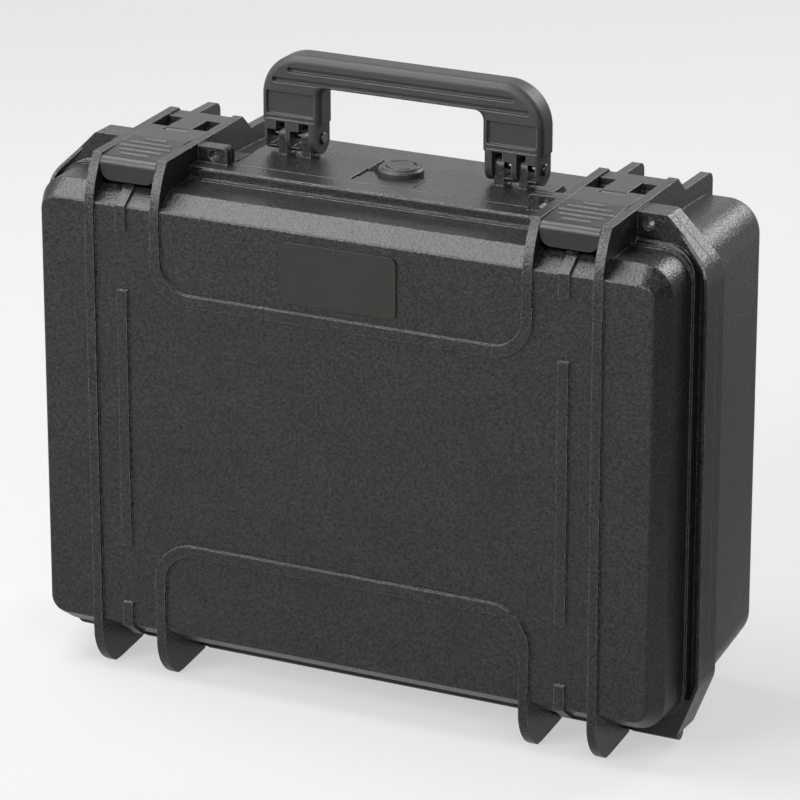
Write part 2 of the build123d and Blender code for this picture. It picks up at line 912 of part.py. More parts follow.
# ------------------------------------------------------------ handle
with BuildPart() as handle:
    handle_front = handle_pivot_depth - handle_depth / 2
    handle_back = handle_pivot_depth + handle_depth / 2
    leg_end_radius = handle_depth / 2
    leg_bottom = handle_pivot_z - leg_end_radius
    # Arched front view with the grip opening
    with BuildSketch(wall_plane(handle_back)):
        with BuildLine():
            FilletPolyline(
                (-handle_half_width, leg_bottom),
                (-handle_half_width, handle_top),
                (handle_half_width, handle_top),
                (handle_half_width, leg_bottom),
                radius=handle_corner,
            )
            Line((handle_half_width, leg_bottom), (-handle_half_width, leg_bottom))
        make_face()
        with BuildLine():
            FilletPolyline(
                (-grip_half_width, leg_bottom),
                (-grip_half_width, grip_top),
                (grip_half_width, grip_top),
                (grip_half_width, leg_bottom),
                radius=grip_corner,
            )
            Line((grip_half_width, leg_bottom), (-grip_half_width, leg_bottom))
        make_face(mode=Mode.SUBTRACT)
    extrude(amount=handle_depth)
    fillet(
        handle.edges()
        .filter_by(lambda edge: abs(edge.center().Y - y_at(handle_pivot_depth)) > handle_depth / 2 - 0.1)
        .filter_by(lambda edge: edge.center().Z > leg_bottom + 1),
        radius=handle_edge_round,
    )
    # Legs end in a round eye about the pivot
    with BuildSketch(side_plane(0)):
        with Locations(at(handle_pivot_depth, handle_pivot_z)):
            Circle(leg_end_radius)
        with Locations(at(handle_pivot_depth, handle_pivot_z)):
            Rectangle(handle_depth, handle_top, align=(Align.CENTER, Align.MIN))
    extrude(amount=case_width, both=True, mode=Mode.INTERSECT)
    for side in sides:
        # Slots for the posts
        for post_x, post_width in ((inner_post_x, inner_post_width), (outer_post_x, outer_post_width)):
            slot_half = post_width / 2 + post_side_clearance
            extrude(
                to_extrude=box_face(
                    handle_back,
                    side * post_x - slot_half,
                    side * post_x + slot_half,
                    leg_bottom,
                    post_slot_top,
                ),
                amount=handle_depth,
                mode=Mode.SUBTRACT,
            )
            window_start = post_x + slot_half
            window_ends = sorted((side * window_start, side * (window_start + leg_window_width)))
            extrude(
                to_extrude=box_face(
                    handle_back, *window_ends, leg_window_bottom, leg_window_top
                ),
                amount=handle_depth,
                mode=Mode.SUBTRACT,
            )
        # Sunk panel on the front and back of each leg
        recess_start, recess_end = sorted(
            (side * (grip_half_width + leg_recess_margin), side * (handle_half_width - leg_recess_margin))
        )
        for face_depth in (handle_front + leg_recess_depth, handle_back):
            extrude(
                to_extrude=box_face(
                    face_depth,
                    recess_start,
                    recess_end,
                    leg_recess_bottom,
                    leg_recess_bottom + leg_recess_height,
                    leg_recess_depth / 2,
                ),
                amount=leg_recess_depth,
                mode=Mode.SUBTRACT,
            )
        for face_depth in (handle_front + leg_line_depth, handle_back):
            extrude(
                to_extrude=box_face(
                    face_depth, recess_start, recess_end, leg_line_z - leg_line_height, leg_line_z
                ),
                amount=leg_line_depth,
                mode=Mode.SUBTRACT,
            )
        # Narrower ear round the pivot
        for ear_start, ear_stop in (
            (grip_half_width - 1, grip_half_width + leg_ear_step),
            (handle_half_width - leg_ear_step, handle_half_width + 1),
        ):
            ear_cut = sorted((side * ear_start, side * ear_stop))
            extrude(
                to_extrude=box_face(handle_back, *ear_cut, leg_bottom - 1, leg_ear_top),
                amount=handle_depth,
                mode=Mode.SUBTRACT,
            )
        # Pin bore
        extrude(
            to_extrude=disc(
                side * handle_half_width,
                handle_pivot_depth,
                handle_pivot_z,
                handle_pin_radius + running_clearance,
            ),
            amount=handle_half_width - grip_half_width / 2,
            both=True,
            mode=Mode.SUBTRACT,
        )
    # Grooves along the grip
    for groove_z, groove_half in (
        (upper_groove_z, upper_groove_half),
        (lower_groove_z, lower_groove_half),
    ):
        for face_depth in (handle_front + groove_depth, handle_back):
            with BuildSketch(wall_plane(face_depth)):
                with Locations((0, groove_z)):
                    SlotOverall(2 * groove_half, groove_height)
            extrude(amount=groove_depth, mode=Mode.SUBTRACT)
handle.part.label = "handle"
export_step(handle.part, "parts/handle.step")

for side in sides:
    with BuildPart() as handle_pin:
        shaft_start = grip_half_width + leg_ear_step - handle_pin_head_gap
        shaft_end = handle_half_width - leg_ear_step + handle_pin_head_gap
        shaft_middle = side * (shaft_start + shaft_end) / 2
        shaft_half = (shaft_end - shaft_start) / 2
        extrude(
            to_extrude=disc(shaft_middle, handle_pivot_depth, handle_pivot_z, handle_pin_radius),
            amount=shaft_half + handle_pin_head / 2,
            both=True,
        )
        # Domed heads over both faces of the leg
        for end in (-1, 1):
            head_inner = shaft_middle + end * shaft_half
            head_middle = head_inner + end * handle_pin_head / 2
            extrude(
                to_extrude=disc(
                    head_middle, handle_pivot_depth, handle_pivot_z, handle_pin_head_radius
                ),
                amount=handle_pin_head / 2,
                both=True,
            )
            head_outer = head_inner + end * handle_pin_head
            fillet(
                handle_pin.edges().filter_by(
                    lambda edge: abs(edge.center().X - head_outer) < 0.01
                ),
                radius=handle_pin_head * 0.6,
            )
    handle_pin.part.label = f"handle_pin_{side_names[side]}"
    export_step(handle_pin.part, f"parts/handle_pin_{side_names[side]}.step")


# ------------------------------------------------------------ latches
for side in sides:
    latch_name = side_names[side]
    latch_middle = side * latch_x

    with BuildPart() as latch_pin:
        pin_half = (latch_bay_outer - latch_bay_inner) / 2 + link_pin_bury
        extrude(
            to_extrude=disc(latch_middle, link_pin_depth, link_pin_z, link_pin_radius),
            amount=pin_half,
            both=True,
        )
    latch_pin.part.label = f"latch_pin_{latch_name}"
    export_step(latch_pin.part, f"parts/latch_pin_{latch_name}.step")

    # Link: a barrel on the rib pin, a cover plate, and a bar out to the lever pin
    with BuildPart() as latch_link:
        plate_front = link_pin_depth - link_plate_front
        plate_rear = link_pin_depth + link_plate_rear
        extrude(
            to_extrude=disc(latch_middle, link_pin_depth, link_pin_z, link_barrel_radius),
            amount=latch_width / 2,
            both=True,
        )
        extrude(
            to_extrude=side_polygon(
                latch_middle,
                (plate_front, latch_top),
                (plate_rear, latch_top),
                (plate_rear, latch_top - latch_thickness),
                (link_pin_depth, link_pin_z),
                (plate_front, link_pin_z),
            ),
            amount=latch_width / 2,
            both=True,
        )
        extrude(
            to_extrude=side_polygon(
                latch_middle,
                (lever_pin_depth, lever_pin_z + lever_eye_radius),
                (link_pin_depth, latch_top),
                (link_pin_depth, lever_pin_z - lever_eye_radius),
                (lever_pin_depth, lever_pin_z - lever_eye_radius),
            ),
            amount=link_bar_width / 2,
            both=True,
        )
        extrude(
            to_extrude=disc(latch_middle, lever_pin_depth, lever_pin_z, lever_eye_radius),
            amount=link_bar_width / 2,
            both=True,
        )
        extrude(
            to_extrude=disc(
                latch_middle, link_pin_depth, link_pin_z, link_pin_radius + running_clearance
            ),
            amount=latch_width,
            both=True,
            mode=Mode.SUBTRACT,
        )
        extrude(
            to_extrude=disc(
                latch_middle, lever_pin_depth, lever_pin_z, lever_pin_radius + seat_clearance
            ),
            amount=latch_width,
            both=True,
            mode=Mode.SUBTRACT,
        )
    latch_link.part.label = f"latch_link_{latch_name}"
    export_step(latch_link.part, f"parts/latch_link_{latch_name}.step")

    with BuildPart() as lever_pin:
        extrude(
            to_extrude=disc(latch_middle, lever_pin_depth, lever_pin_z, lever_pin_radius),
            amount=lever_pin_length / 2,
            both=True,
        )
    lever_pin.part.label = f"lever_pin_{latch_name}"
    export_step(lever_pin.part, f"parts/lever_pin_{latch_name}.step")

    # Lever: a thin plate with a hooked front lip and two ears round the link's bar
    with BuildPart() as latch_lever:
        lever_underside = latch_top - lever_skin
        lip_rear = lever_front + lever_lip_thickness
        slot_wall = lever_pin_depth - lever_slot_wall
        lever_side = [
            (lever_pin_depth, latch_top, 0),
            (lever_slope_start, latch_top, lever_front),
            (lever_front, latch_top - lever_front_drop, lever_front_round),
            (lever_front, lever_lip_bottom, 0),
            (lip_rear, lever_lip_bottom, 0),
            (lip_rear, lever_surface(lip_rear) - lever_skin, lever_lip_thickness / 2),
            (lever_slope_start, lever_underside, 0),
            (slot_wall - lever_eye_radius, lever_underside, 0),
            (lever_pin_depth - lever_eye_radius / 2, lever_pin_z - lever_eye_radius, 0),
            (lever_pin_depth, lever_pin_z - lever_eye_radius, 0),
        ]
        with BuildSketch(side_plane(latch_middle)):
            with BuildLine():
                FilletPolyline(
                    *[at(depth, z) for depth, z, radius in lever_side],
                    radius=[radius for depth, z, radius in lever_side],
                    close=True,
                )
            make_face()
        extrude(amount=latch_width / 2, both=True)
        extrude(
            to_extrude=disc(latch_middle, lever_pin_depth, lever_pin_z, lever_eye_radius),
            amount=latch_width / 2,
            both=True,
        )
        # Pad that rests over the lid's land
        pad_bottom = latch_land_z + pad_clearance
        extrude(
            to_extrude=box_face(
                pad_front + pad_length,
                latch_middle - pad_half_width,
                latch_middle + pad_half_width,
                pad_bottom,
                lever_underside + 1,
            ),
            amount=pad_length,
        )
        # Grip ridges across the top
        for ridge_front, ridge_length in grip_ridges:
            ridge_end = ridge_front + grip_ridge_width
            start_z = lever_surface(ridge_front)
            end_z = lever_surface(ridge_end)
            extrude(
                to_extrude=side_polygon(
                    latch_middle,
                    (ridge_front, start_z - grip_ridge_height),
                    (ridge_front, start_z),
                    (ridge_front + grip_ridge_width / 4, start_z + grip_ridge_height),
                    (ridge_end - grip_ridge_width / 4, end_z + grip_ridge_height),
                    (ridge_end, end_z),
                    (ridge_end, end_z - grip_ridge_height),
                ),
                amount=ridge_length / 2,
                both=True,
            )
        # Slot for the link's bar, between the ears
        slot_half = link_bar_width / 2 + lever_bar_clearance
        extrude(
            to_extrude=box_face(
                lever_pin_depth + lever_eye_radius + 1,
                latch_middle - slot_half,
                latch_middle + slot_half,
                lever_pin_z - lever_eye_radius - 1,
                latch_top + grip_ridge_height + 1,
            ),
            amount=lever_eye_radius + 1 + lever_slot_wall,
            mode=Mode.SUBTRACT,
        )
        extrude(
            to_extrude=disc(
                latch_middle, lever_pin_depth, lever_pin_z, lever_pin_radius + running_clearance
            ),
            amount=latch_width,
            both=True,
            mode=Mode.SUBTRACT,
        )
        # Rounded lower corners of the lip
        fillet(
            latch_lever.edges()
            .filter_by(Axis.Y)
            .filter_by(lambda edge: abs(edge.center().Z - lever_lip_bottom) < 0.1),
            radius=lever_lip_corner,
        )
    latch_lever.part.label = f"latch_lever_{latch_name}"
    export_step(latch_lever.part, f"parts/latch_lever_{latch_name}.step")


# ------------------------------------------------------------ purge valve
with BuildPart() as valve_body:
    stem_bottom = valve_inner_boss_z - valve_washer_thickness - valve_nut_height - valve_stem_overhang
    with BuildSketch(Plane.XY.offset(stem_bottom)):
        with Locations((0, y_at(valve_depth))):
            Circle(valve_stem_radius)
    extrude(amount=valve_boss_top - stem_bottom)
    with BuildSketch(Plane.XY.offset(valve_boss_top)):
        with Locations((0, y_at(valve_depth))):
            Circle(valve_flange_radius)
    extrude(amount=valve_flange_height)
    with BuildSketch(Plane.XY.offset(valve_boss_top + valve_flange_height)):
        with Locations((0, y_at(valve_depth))):
            Circle(valve_neck_radius)
    extrude(amount=valve_neck_height)
    with BuildSketch(Plane.XY.offset(stem_bottom)):
        with Locations((0, y_at(valve_depth))):
            Circle(valve_neck_radius / 2)
    extrude(amount=valve_boss_top - stem_bottom, mode=Mode.SUBTRACT)
valve_body.part.label = "valve_body"
export_step(valve_body.part, "parts/valve_body.step")

with BuildPart() as valve_washer:
    washer_bottom = valve_inner_boss_z - valve_washer_thickness
    with BuildSketch(Plane.XY.offset(washer_bottom)):
        with Locations((0, y_at(valve_depth))):
            Circle(valve_washer_radius)
            Circle(valve_stem_radius + seat_clearance, mode=Mode.SUBTRACT)
    extrude(amount=valve_washer_thickness)
valve_washer.part.label = "valve_washer"
export_step(valve_washer.part, "parts/valve_washer.step")

with BuildPart() as valve_nut:
    with BuildSketch(Plane.XY.offset(washer_bottom - valve_nut_height)):
        with Locations((0, y_at(valve_depth))):
            RegularPolygon(valve_nut_radius, 6)
            Circle(valve_stem_radius + seat_clearance, mode=Mode.SUBTRACT)
    extrude(amount=valve_nut_height)
valve_nut.part.label = "valve_nut"
export_step(valve_nut.part, "parts/valve_nut.step")

with BuildPart() as valve_o_ring:
    ring_z = valve_boss_top + valve_flange_height + o_ring_section
    with BuildSketch(Plane.XZ.offset(-y_at(valve_depth))):
        with Locations((o_ring_radius, ring_z)):
            Circle(o_ring_section)
    revolve(axis=Axis((0, y_at(valve_depth), 0), (0, 0, 1)))
valve_o_ring.part.label = "valve_o_ring"
export_step(valve_o_ring.part, "parts/valve_o_ring.step")

with BuildPart() as valve_knob:
    knob_bottom = valve_boss_top + knob_lift
    knob_top = knob_bottom + knob_height
    shoulder = (knob_radius - knob_disc_radius) / 2
    # Turned profile: skirt, rounded shoulder, raised disc
    with BuildSketch(Plane.XZ.offset(-y_at(valve_depth))):
        with BuildLine():
            Polyline(
                (0, knob_top - knob_roof),
                (0, knob_top),
                (knob_disc_radius, knob_top),
                (knob_disc_radius, knob_top - shoulder),
                (knob_radius - shoulder, knob_top - shoulder),
                (knob_radius, knob_top - 2 * shoulder),
                (knob_radius, knob_bottom),
                (knob_skirt_inner, knob_bottom),
                (knob_skirt_inner, knob_top - knob_roof),
                close=True,
            )
        make_face()
    revolve(axis=Axis((0, y_at(valve_depth), 0), (0, 0, 1)))
    # Two curved grip grooves in the top
    with BuildSketch(Plane.XY.offset(knob_top)):
        with Locations((0, y_at(valve_depth))):
            Circle(knob_groove_radius + knob_groove_width / 2)
            Circle(knob_groove_radius - knob_groove_width / 2, mode=Mode.SUBTRACT)
            Rectangle(wide, knob_slot_length / 2, mode=Mode.SUBTRACT)
    extrude(amount=-knob_groove_depth, mode=Mode.SUBTRACT)
    # Blind bore on the valve body's neck
    with BuildSketch(Plane.XY.offset(knob_top - knob_roof)):
        with Locations((0, y_at(valve_depth))):
            Circle(valve_neck_radius + running_clearance)
    extrude(amount=knob_roof / 2, mode=Mode.SUBTRACT)
valve_knob.part.label = "valve_knob"
export_step(valve_knob.part, "parts/valve_knob.step")
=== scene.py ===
import math

import bpy
import numpy as np
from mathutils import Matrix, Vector


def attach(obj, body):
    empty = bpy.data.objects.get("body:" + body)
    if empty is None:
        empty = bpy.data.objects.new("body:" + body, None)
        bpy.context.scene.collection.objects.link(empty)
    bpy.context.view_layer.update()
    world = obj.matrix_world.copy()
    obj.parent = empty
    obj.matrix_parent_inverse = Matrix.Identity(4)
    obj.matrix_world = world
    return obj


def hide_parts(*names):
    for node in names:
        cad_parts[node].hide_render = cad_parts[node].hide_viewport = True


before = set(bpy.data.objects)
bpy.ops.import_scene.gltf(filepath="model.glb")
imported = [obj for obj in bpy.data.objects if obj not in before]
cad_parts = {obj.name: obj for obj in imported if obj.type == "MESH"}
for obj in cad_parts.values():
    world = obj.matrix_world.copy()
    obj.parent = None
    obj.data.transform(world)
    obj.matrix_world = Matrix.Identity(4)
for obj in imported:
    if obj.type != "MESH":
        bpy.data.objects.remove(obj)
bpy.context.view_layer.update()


# ---------------------------------------------------------------- camera
# A long lens looks down on the case from its front right corner.
# Turn and tilt are the direction from the case to the camera.
camera_turn = math.radians(26.31)
camera_tilt = math.radians(19.94)
camera_distance = 2.9131
camera_lens = 207.0
camera_sensor = 36
camera_reach = 30
camera_target = Vector((0.04368, -0.085, 0.22623))
to_camera = Vector((
    math.sin(camera_turn) * math.cos(camera_tilt),
    -math.cos(camera_turn) * math.cos(camera_tilt),
    math.sin(camera_tilt),
))
camera_data = bpy.data.cameras.new("camera")
camera_data.lens = camera_lens
camera_data.sensor_width = camera_sensor
camera_data.clip_end = camera_reach
camera = bpy.data.objects.new("camera", camera_data)
camera.location = camera_target + to_camera * camera_distance
camera.rotation_euler = to_camera.to_track_quat("Z", "Y").to_euler()
bpy.context.scene.collection.objects.link(camera)
bpy.context.scene.camera = camera
bpy.context.scene.view_settings.view_transform = "Standard"


# ---------------------------------------------------------------- studio floor
# One pale sheet that lies under the case and curves up behind it.
# To the camera and in reflections it is nearly white and keeps a soft shadow.
floor_reach = 7.0
floor_rise_start = 2.6
floor_rise_radius = 1.5
floor_height = 4.5
flat_steps = 12
rise_steps = 24
wall_foot = floor_rise_radius + 1
floor_bounce = (0.38, 0.38, 0.378, 1)      # what the case gets back from it
floor_glow = (0.52, 0.52, 0.52, 1)         # what the camera and reflections see
floor_shade = (0.150, 0.150, 0.150, 1)     # the part of that which shadows darken


def faced_mesh(name, points, *parts):
    """Smooth mesh from an array of points and arrays of faces, with three or four corners to a row."""
    faces = sum((part.tolist() for part in parts), [])
    mesh = bpy.data.meshes.new(name)
    mesh.from_pydata(points.tolist(), [], faces)
    mesh.polygons.foreach_set("use_smooth", np.full(len(faces), True))
    return mesh


def grid_mesh(name, points):
    """Mesh over a grid of points with shape (rows, columns, 3), one quad between four neighbours."""
    rows, columns = points.shape[:2]
    index = np.arange(rows * columns).reshape(rows, columns)
    quads = np.stack([index[:-1, :-1], index[:-1, 1:], index[1:, 1:], index[1:, :-1]], axis=-1)
    return faced_mesh(name, points.reshape(-1, 3), quads.reshape(-1, 4))


def floor_points():
    """Straight floor, then a quarter circle of the rise radius, then an upright wall, swept along X."""
    turn = np.linspace(0, math.pi / 2, rise_steps)
    flat_y = np.linspace(-floor_reach, floor_rise_start, flat_steps)[:-1]
    y = np.concatenate([
        flat_y,
        floor_rise_start + floor_rise_radius * np.sin(turn),
        np.full(2, floor_rise_start + floor_rise_radius),
    ])
    z = np.concatenate([
        np.zeros_like(flat_y),
        floor_rise_radius * (1 - np.cos(turn)),
        np.array([wall_foot, floor_height]),
    ])
    x = np.linspace(-floor_reach, floor_reach, 3)
    return np.stack(np.broadcast_arrays(x[None, :], y[:, None], z[:, None]), axis=-1)


def combined(tree, operation, one, other):
    """Math node on two outputs."""
    node = tree.nodes.new("ShaderNodeMath")
    node.operation = operation
    tree.links.new(one, node.inputs[0])
    tree.links.new(other, node.inputs[1])
    return node.outputs["Value"]


def plain_shader(tree, kind, colour):
    """Diffuse or emission shader of one colour."""
    node = tree.nodes.new(kind)
    node.inputs["Color"].default_value = colour
    return node.outputs[0]


def backdrop_paint(name):
    """Paint that lights the case by its bounce, and is pale where the camera or a reflection sees it."""
    material = bpy.data.materials.new(name)
    material.use_nodes = True
    tree = material.node_tree
    tree.nodes.remove(tree.nodes["Principled BSDF"])
    seen = tree.nodes.new("ShaderNodeAddShader")
    tree.links.new(plain_shader(tree, "ShaderNodeBsdfDiffuse", floor_shade), seen.inputs[0])
    tree.links.new(plain_shader(tree, "ShaderNodeEmission", floor_glow), seen.inputs[1])
    path = tree.nodes.new("ShaderNodeLightPath").outputs
    direct = combined(tree, "MAXIMUM", path["Is Camera Ray"], path["Is Glossy Ray"])
    choice = tree.nodes.new("ShaderNodeMixShader")
    tree.links.new(
        combined(tree, "MAXIMUM", direct, path["Is Transmission Ray"]), choice.inputs["Fac"]
    )
    tree.links.new(plain_shader(tree, "ShaderNodeBsdfDiffuse", floor_bounce), choice.inputs[1])
    tree.links.new(seen.outputs["Shader"], choice.inputs[2])
    surface = tree.nodes["Material Output"].inputs["Surface"]
    tree.links.new(choice.outputs["Shader"], surface)
    return material


def placed(name, mesh, material):
    """Object at the origin with a mesh and its material."""
    mesh.materials.append(material)
    piece = bpy.data.objects.new(name, mesh)
    bpy.context.scene.collection.objects.link(piece)
    return piece


floor = placed(
    "studio_floor", grid_mesh("studio_floor", floor_points()), backdrop_paint("studio_floor")
)


# ---------------------------------------------------------------- dark card
# It lies on the floor to the right of the case and behind it. Only
# reflections see it, so the side that faces right stays darker than the panel:
# it is painted shade, standing in for the shadowed floor that the side reflects.
card_low = (0.24, 0.08)
card_high = (1.60, 1.10)
card_height = 0.002
reflected_shade_colour = (0.03, 0.03, 0.03, 1)


def card_points():
    """Flat rectangle between two corners, at one height."""
    x, y = np.meshgrid(*(np.linspace(low, high, 2) for low, high in zip(card_low, card_high)))
    return np.stack([x, y, np.full_like(x, card_height)], axis=-1)


card_paint = bpy.data.materials.new("reflected_shade_card")
card_paint.use_nodes = True
card_paint.node_tree.nodes["Principled BSDF"].inputs["Base Color"].default_value = reflected_shade_colour
card = placed("reflected_shade_card", grid_mesh("reflected_shade_card", card_points()), card_paint)
card.visible_camera = False
card.visible_diffuse = False
card.visible_shadow = False


# ---------------------------------------------------------------- studio light
# A dim room that is darker to the right, and six soft lamps: strong ones
# overhead and in front, weak ones at both sides, a weak one behind for the
# upward faces' sheen, and a strong one behind the right rear corner.
case_middle = (0, 0, 0.25)
case_upper = (0, 0, 0.3)
lamps = (  # name, place, aim, width, height, watts
    ("overhead_lamp", (-0.85, -0.15, 2.1), case_middle, 1.35, 1.35, 72),
    ("front_lamp", (-1.1, -2.4, 1.6), case_middle, 1.4, 1.4, 134),
    ("left_lamp", (-2.3, -0.6, 1.2), case_middle, 1.4, 1.4, 20),
    ("right_lamp", (1.5, -1.6, 1.7), case_middle, 1.0, 1.0, 40),
    ("sheen_lamp", (-1.1, 2.2, 1.2), case_upper, 1.9, 1.1, 6),
    ("corner_lamp", (1.05, 2.2, 1.75), case_upper, 1.2, 0.9, 66),
)
room_colour = (1, 1, 1, 1)
room_left, room_right = -0.6, 0.7          # X of the direction where the fade starts and ends
room_left_strength, room_right_strength = 0.20, 0.04


def soft_lamp(name, place, aim, width, height, power):
    """Rectangular area lamp at a place, facing a point."""
    data = bpy.data.lights.new(name, "AREA")
    data.shape = "RECTANGLE"
    data.size = width
    data.size_y = height
    data.energy = power
    lamp = bpy.data.objects.new(name, data)
    lamp.location = place
    lamp.rotation_euler = (Vector(place) - Vector(aim)).to_track_quat("Z", "Y").to_euler()
    bpy.context.scene.collection.objects.link(lamp)


def ranged(tree, source, low, high, out_low, out_high):
    """Map Range node from a source's low..high to an output's low..high, clamped."""
    node = tree.nodes.new("ShaderNodeMapRange")
    node.inputs["From Min"].default_value = low
    node.inputs["From Max"].default_value = high
    node.inputs["To Min"].default_value = out_low
    node.inputs["To Max"].default_value = out_high
    tree.links.new(source, node.inputs["Value"])
    return node.outputs["Result"]


for lamp_facts in lamps:
    soft_lamp(*lamp_facts)
room = bpy.data.worlds.new("pale_room")
bpy.context.scene.world = room
room.use_nodes = True
room_tree = room.node_tree
room_light = room_tree.nodes["Background"]
room_light.inputs["Color"].default_value = room_colour
room_place = room_tree.nodes.new("ShaderNodeTexCoord")
room_axes = room_tree.nodes.new("ShaderNodeSeparateXYZ")
room_tree.links.new(room_place.outputs["Generated"], room_axes.inputs["Vector"])
room_fade = ranged(
    room_tree, room_axes.outputs["X"], room_left, room_right, room_left_strength, room_right_strength
)
room_tree.links.new(room_fade, room_light.inputs["Strength"])


# ---------------------------------------------------------------- shells
# Lid and base are injection-moulded polypropylene with a spark-eroded grain
# all over, and small radii on every edge.
shell_black = (0.0085, 0.0085, 0.0084)
plastic_ior = 1.36
noise_low, noise_high = 0.3, 0.7           # most of a noise lies between these
blotches = 26.0                            # mottled patches per metre
gloss_spread = 0.06
edge_start, edge_full = 0.995, 0.88        # agreement of the bevelled normal with the face's
edge_gloss = 0.26                          # roughness of the rubbed edges
edge_samples = 4


def noise(tree, place, scale, detail, roughness=0.5):
    """Noise texture over a place."""
    node = tree.nodes.new("ShaderNodeTexNoise")
    node.inputs["Scale"].default_value = scale
    node.inputs["Detail"].default_value = detail
    node.inputs["Roughness"].default_value = roughness
    tree.links.new(place, node.inputs["Vector"])
    return node.outputs["Fac"]


def tinted(tree, colour, shade):
    """Base colour: one colour times a shade that varies over the surface."""
    node = tree.nodes.new("ShaderNodeVectorMath")
    node.operation = "SCALE"
    node.inputs[0].default_value = colour
    tree.links.new(shade, node.inputs["Scale"])
    tree.links.new(node.outputs["Vector"], tree.nodes["Principled BSDF"].inputs["Base Color"])


def bumped(tree, height, distance):
    """Bump of a height in metres on the shader's normal; returns its node."""
    node = tree.nodes.new("ShaderNodeBump")
    node.inputs["Strength"].default_value = 1.0
    node.inputs["Distance"].default_value = distance
    tree.links.new(height, node.inputs["Height"])
    tree.links.new(node.outputs["Normal"], tree.nodes["Principled BSDF"].inputs["Normal"])
    return node


def moulded_plastic(
    name, colour, roughness, grain, grain_height, edge_radius, speckle=0.1, mottling=0.12, wear_and_highlight=1.5
):
    """Moulded plastic with a pebbled grain, mottled tone, and rounded edges made glossier by wear and paler
    by wear and a painted highlight.

    The grain, in pebbles per metre, is both bump and speckle. The edge mask
    grows as the bevelled normal leaves the face's own normal.
    """
    material = bpy.data.materials.new(name)
    material.use_nodes = True
    tree = material.node_tree
    shader = tree.nodes["Principled BSDF"]
    shader.inputs["IOR"].default_value = plastic_ior
    place = tree.nodes.new("ShaderNodeTexCoord").outputs["Object"]
    fine = noise(tree, place, grain, detail=2.5, roughness=0.62)
    broad = noise(tree, place, blotches, detail=5.0, roughness=0.65)
    edge = tree.nodes.new("ShaderNodeBevel")
    edge.samples = edge_samples
    edge.inputs["Radius"].default_value = edge_radius
    surface = tree.nodes.new("ShaderNodeNewGeometry")
    agreement = tree.nodes.new("ShaderNodeVectorMath")
    agreement.operation = "DOT_PRODUCT"
    tree.links.new(edge.outputs["Normal"], agreement.inputs[0])
    tree.links.new(surface.outputs["Normal"], agreement.inputs[1])
    agreed = agreement.outputs["Value"]
    mottled = ranged(tree, broad, noise_low, noise_high, 1 - mottling, 1 + mottling)
    speckled = ranged(tree, fine, noise_low, noise_high, 1 - speckle, 1 + speckle)
    # Painted highlight with some wear: towards the edges the colour is paled up to one plus this amount
    # times, standing in for the light that rounded edges catch.
    edge_wear_and_highlight = ranged(tree, agreed, edge_start, edge_full, 1.0, 1.0 + wear_and_highlight)
    shade = combined(tree, "MULTIPLY", combined(tree, "MULTIPLY", mottled, speckled), edge_wear_and_highlight)
    tinted(tree, colour, shade)
    grained = ranged(
        tree, fine, noise_low, noise_high, roughness - gloss_spread, roughness + gloss_spread
    )
    polished = ranged(tree, agreed, edge_full, edge_start, edge_gloss, 1.0)
    tree.links.new(combined(tree, "MINIMUM", grained, polished), shader.inputs["Roughness"])
    bump = bumped(tree, fine, grain_height)
    tree.links.new(edge.outputs["Normal"], bump.inputs["Normal"])
    return material


def dress(material, *names):
    """Give CAD nodes a material in place of their plain one."""
    for name in names:
        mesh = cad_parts[name].data
        mesh.materials.clear()
        mesh.materials.append(material)


# Painted highlight: every edge is paled eightfold, mostly standing in for the light the edges catch, a little
# for wear.
shell_plastic = moulded_plastic(
    "shell_plastic", shell_black, roughness=0.36, grain=520.0, grain_height=0.00050,
    edge_radius=0.0009, speckle=0.9, mottling=0.14, wear_and_highlight=7.0,
)
dress(shell_plastic, "lid_shell", "base_shell")


# ---------------------------------------------------------------- label
# Thin plastic plate glued into the panel between the upper band and the
# chamfer. It carries nothing, only its satin dark olive ground.
label_plastic = moulded_plastic(
    "label_plastic", (0.0085, 0.0086, 0.0068), roughness=0.46, grain=2400.0,
    grain_height=0.00002, edge_radius=0.0004, wear_and_highlight=0.5,
)
dress(label_plastic, "label_plate")


# ---------------------------------------------------------------- handle
# Glass-filled nylon with a satin skin, on two steel pins through posts of
# the base. Its grain is finer than the shells', and its edges are paled
# fivefold, partly as wear and partly as a painted highlight.
handle_plastic = moulded_plastic(
    "handle_plastic", (0.017, 0.017, 0.017), roughness=0.52, grain=1100.0,
    grain_height=0.00010, edge_radius=0.0009, speckle=0.4, wear_and_highlight=4.0,
)
dress(handle_plastic, "handle")


# ---------------------------------------------------------------- latches
# Levers and links are satin mouldings, as dark as the shells and smoother,
# with ribs across the lever for the fingers. They turn on steel pins.
# Their edges are paled sixfold, partly as wear and partly as a painted highlight.
latch_plastic = moulded_plastic(
    "latch_plastic", shell_black, roughness=0.40, grain=1100.0,
    grain_height=0.00008, edge_radius=0.0008, speckle=0.3, wear_and_highlight=5.0,
)
dress(latch_plastic, "latch_link_left", "latch_link_right", "latch_lever_left", "latch_lever_right")


# ---------------------------------------------------------------- purge valve
# The knob turns on a stem that a nut holds in the base's top wall. All three
# are moulded like the handle, with a little more gloss.
# Their edges are paled fourfold, partly as wear and partly as a painted highlight.
valve_plastic = moulded_plastic(
    "valve_plastic", (0.018, 0.018, 0.0176), roughness=0.44, grain=900.0,
    grain_height=0.00012, edge_radius=0.0009, speckle=0.4, wear_and_highlight=3.0,
)
dress(valve_plastic, "valve_knob", "valve_body", "valve_nut")


# ---------------------------------------------------------------- pins
# Blackened steel rods: one along the hinge, two in the handle and four in
# the latches. Fine lines from drawing run along them.
drawn_length = 40                          # how many times longer than wide a scratch is


